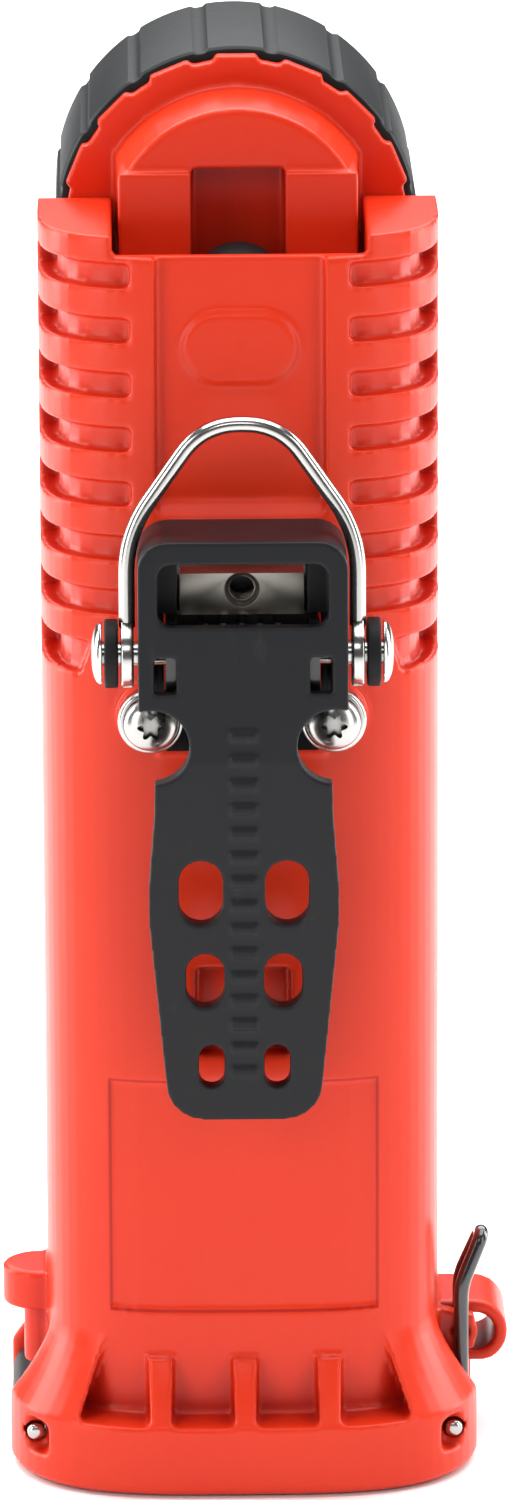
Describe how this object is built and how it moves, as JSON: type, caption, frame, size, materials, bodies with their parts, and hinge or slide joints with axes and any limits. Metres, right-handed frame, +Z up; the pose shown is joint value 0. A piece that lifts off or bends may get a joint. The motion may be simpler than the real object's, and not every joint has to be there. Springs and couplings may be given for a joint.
{
  "type": "right-angle flashlight",
  "caption": "Upright orange right-angle flashlight with a round lamp head, rear switch, steel D-ring, sprung belt clip and a latched battery door in its foot.",
  "frame": {"origin": "middle of the flat foot the light stands on, on the battery door's underside", "axes": "+Z up along the tube, +Y along the beam, -Y out of the back that carries the belt clip, +X towards the latch and lanyard ring"},
  "size_m": [0.0643, 0.077, 0.178],
  "materials": {
    "orange_polymer": "satin moulded nylon",
    "black_nylon": "fine matt texture",
    "black_rubber": "matt rubber",
    "stainless_steel": "polished",
    "black_coated_wire": "gloss coating on steel",
    "aluminium": "machined",
    "reflector_metal": "vacuum metallised",
    "clear_lens": "clear and polished",
    "nickelled_brass": "plated",
    "circuit_board": "solder resist",
    "led_phosphor": "silicone dome",
    "cell_sleeve": "printed shrink sleeve, blank"
  },
  "bodies": {
    "light_body": {"body_shell": "orange_polymer", "head_housing": "orange_polymer", "battery_carrier": "black_nylon", "switch_module": "black_nylon", "head_o_ring": "black_rubber", "pivot_washer_left": "black_rubber", "pivot_washer_right": "black_rubber", "bracket_screw_left": "stainless_steel", "bracket_screw_right": "stainless_steel", "screw_cup_left": "stainless_steel", "screw_cup_right": "stainless_steel", "cell_spring_left": "stainless_steel", "cell_spring_right": "stainless_steel", "charge_contact_left": "stainless_steel", "charge_contact_right": "stainless_steel", "clip_bracket": "black_coated_wire", "clip_spring": "stainless_steel", "door_hinge_pin": "stainless_steel", "head_screw_1": "stainless_steel", "head_screw_2": "stainless_steel", "head_screw_3": "stainless_steel", "head_screw_4": "stainless_steel", "nut_bar": "stainless_steel", "pivot_rivet": "stainless_steel", "heat_sink": "aluminium", "reflector": "reflector_metal", "bridge_plate": "nickelled_brass", "contact_strip_negative": "nickelled_brass", "contact_strip_positive": "nickelled_brass", "control_board": "circuit_board", "switch_board": "circuit_board", "upper_contact_plate": "circuit_board", "led_board": "circuit_board", "led_emitter": "led_phosphor", "battery_cell_1": "cell_sleeve", "battery_cell_2": "cell_sleeve", "battery_cell_3": "cell_sleeve", "battery_cell_4": "cell_sleeve"},
    "switch_button": {"switch_button": "black_rubber"},
    "lens_group": {"lens": "clear_lens", "lens_gasket": "black_rubber"},
    "face_cap": {"face_cap": "black_nylon"},
    "battery_door": {"battery_door": "black_nylon", "door_seal": "black_rubber"},
    "door_latch": {"door_latch": "black_coated_wire"},
    "clip": {"clip_lever": "black_nylon"},
    "d_ring": {"d_ring": "stainless_steel"}
  },
  "joints": [
    {"name": "switch_press", "type": "slide", "parent": "light_body", "child": "switch_button", "axis": [0, 0, -1], "range_m": [0, 0.0019], "stiffness_N_per_m": 900, "springref_m": -0.0002},
    {"name": "lens_travel", "type": "slide", "parent": "light_body", "child": "lens_group", "axis": [0, 1, 0], "range_m": [0, 0.004]},
    {"name": "face_cap_turn", "type": "hinge", "parent": "lens_group", "child": "face_cap", "pos_m": [0, 0.0083, 0.1556], "axis": [0, 1, 0], "range_deg": [0, 720]},
    {"name": "door_hinge", "type": "hinge", "parent": "light_body", "child": "battery_door", "pos_m": [-0.0259, 0, 0.0054], "axis": [0, 1, 0], "range_deg": [0, 100]},
    {"name": "latch_rock", "type": "hinge", "parent": "light_body", "child": "door_latch", "pos_m": [0.02765, -0.0058, 0.015], "axis": [0, -1, 0], "range_deg": [0, 11], "stiffness_Nm_per_rad": 0.05},
    {"name": "clip_squeeze", "type": "hinge", "parent": "light_body", "child": "clip", "pos_m": [0, -0.03, 0.1104], "axis": [-1, 0, 0], "range_deg": [0, 9], "stiffness_Nm_per_rad": 0.8, "springref_deg": -5.73},
    {"name": "d_ring_swing", "type": "hinge", "parent": "light_body", "child": "d_ring", "pos_m": [0, -0.03, 0.1104], "axis": [1, 0, 0], "range_deg": [-15, 140]}
  ],
  "couplings": [
    {"joint": "lens_travel", "follows": "face_cap_turn", "m_per_rad": 0.000318}
  ]
}
